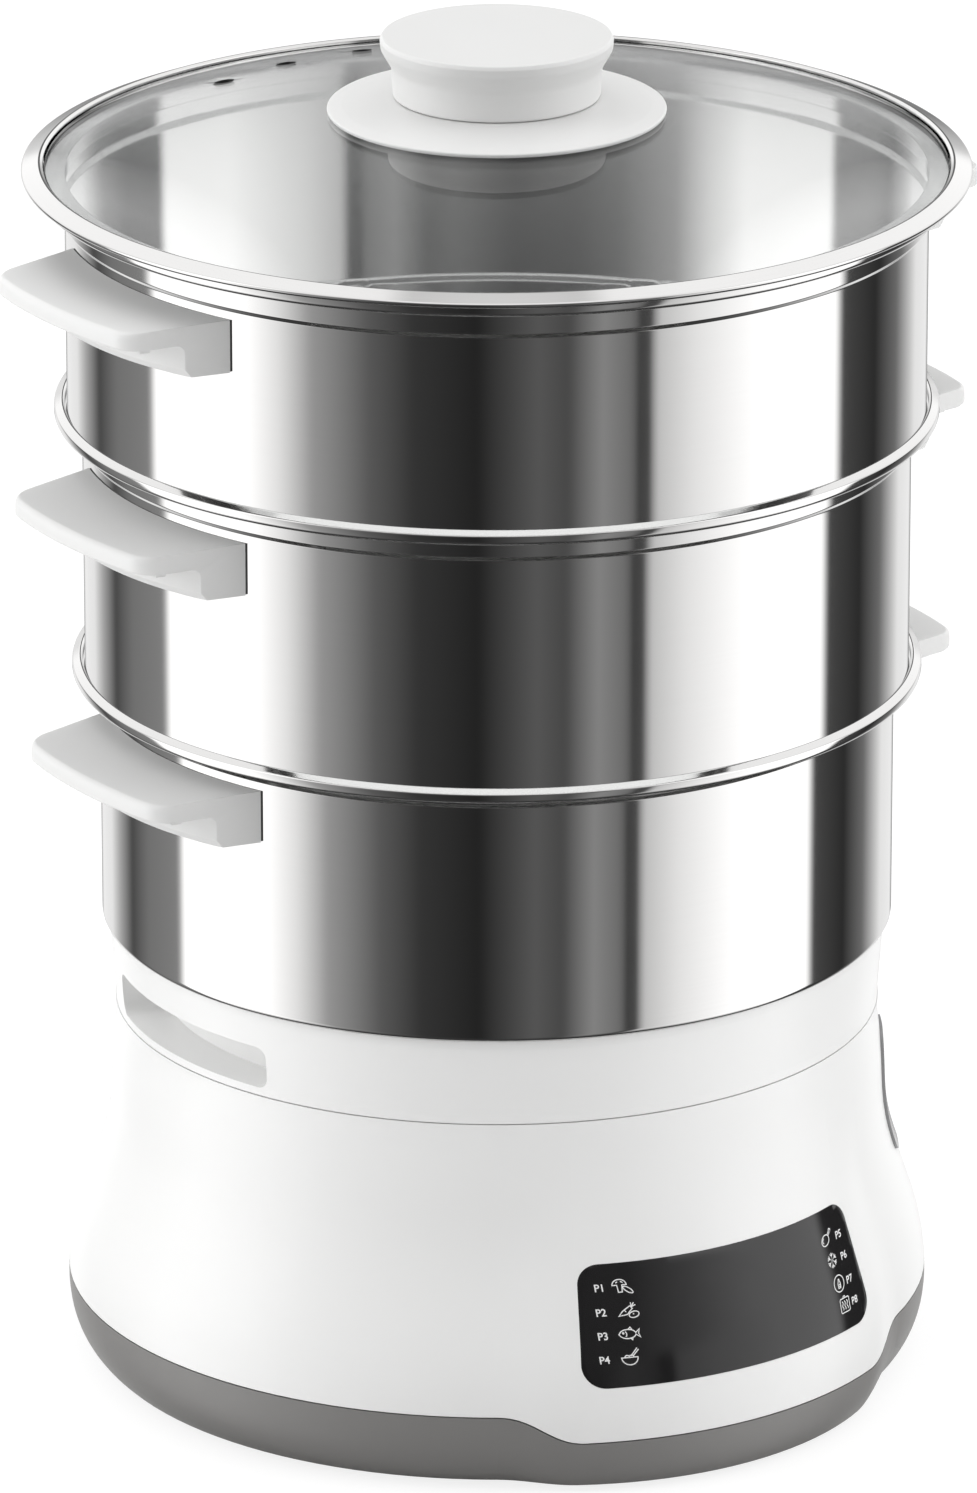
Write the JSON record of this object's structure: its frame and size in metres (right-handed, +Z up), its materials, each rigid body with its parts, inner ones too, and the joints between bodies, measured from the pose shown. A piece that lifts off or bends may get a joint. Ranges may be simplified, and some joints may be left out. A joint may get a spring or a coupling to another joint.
{
  "type": "electric food steamer",
  "caption": "Electric food steamer: flared base with a touch panel and water tank, juice collector, stacked steel bowls with side handles, and a domed glass lid with a round knob.",
  "frame": {"origin": "centre of the plane that the feet rest on, on the axis of the bowls", "axes": "+Z up along the axis of the bowls; -Y towards the touch panel; +X to the right seen from the front, with the handles on -X and +X"},
  "size_m": [0.299, 0.2644, 0.3865],
  "materials": {
    "white_gloss": "gloss white moulded plastic",
    "white_matte": "fine-textured white moulded plastic",
    "grey_plastic": "satin warm grey moulded plastic",
    "black_panel": "gloss black touch panel",
    "dark_window": "smoked translucent plastic",
    "tank_plastic": "satin light grey plastic",
    "polished_steel": "polished stainless steel",
    "steel": "plain stainless steel",
    "zinc_steel": "zinc-plated steel",
    "aluminium": "cast aluminium",
    "glass": "clear tempered glass",
    "rubber": "black rubber",
    "silicone": "translucent silicone",
    "circuit_board": "green circuit board",
    "display_black": "black display module"
  },
  "bodies": {
    "base": {"base_housing": "white_gloss", "base_skirt": "grey_plastic", "base_screws": "zinc_steel", "feet": "rubber", "cord_gland": "rubber", "panel_lens": "black_panel", "level_window": "dark_window", "water_tank": "tank_plastic", "heater_plate": "steel", "heater_seal": "silicone", "heater_clamp": "zinc_steel", "heater_studs": "zinc_steel", "heating_element": "aluminium", "thermostat": "aluminium", "thermal_fuse": "silicone", "control_board": "circuit_board", "display_module": "display_black", "power_board": "circuit_board", "board_screws": "zinc_steel"},
    "steam_ring": {"steam_ring": "tank_plastic"},
    "juice_collector": {"juice_collector": "white_gloss"},
    "bowl_3": {"bowl_3": "polished_steel", "bowl_3_handle_left": "white_matte", "bowl_3_handle_right": "white_matte", "bowl_3_brackets": "steel", "bowl_3_screws": "steel"},
    "bowl_2": {"bowl_2": "polished_steel", "bowl_2_handle_left": "white_matte", "bowl_2_handle_right": "white_matte", "bowl_2_brackets": "steel", "bowl_2_screws": "steel"},
    "bowl_1": {"bowl_1": "polished_steel", "bowl_1_handle_left": "white_matte", "bowl_1_handle_right": "white_matte", "bowl_1_brackets": "steel", "bowl_1_screws": "steel"},
    "lid": {"lid_glass": "glass", "lid_rim": "polished_steel", "knob_flange": "white_matte", "knob": "white_matte", "knob_washer": "silicone", "knob_screw": "steel"}
  },
  "joints": [
    {"name": "steam_ring_lift", "type": "slide", "parent": "base", "child": "steam_ring", "axis": [0, 0, 1], "range_m": [0, 0.055]},
    {"name": "juice_collector_lift", "type": "slide", "parent": "steam_ring", "child": "juice_collector", "axis": [0, 0, 1], "range_m": [0, 0.02]},
    {"name": "bowl_3_lift", "type": "slide", "parent": "juice_collector", "child": "bowl_3", "axis": [0, 0, 1], "range_m": [0, 0.03]},
    {"name": "bowl_2_lift", "type": "slide", "parent": "bowl_3", "child": "bowl_2", "axis": [0, 0, 1], "range_m": [0, 0.03]},
    {"name": "bowl_1_lift", "type": "slide", "parent": "bowl_2", "child": "bowl_1", "axis": [0, 0, 1], "range_m": [0, 0.03]},
    {"name": "lid_lift", "type": "slide", "parent": "bowl_1", "child": "lid", "axis": [0, 0, 1], "range_m": [0, 0.06]}
  ]
}
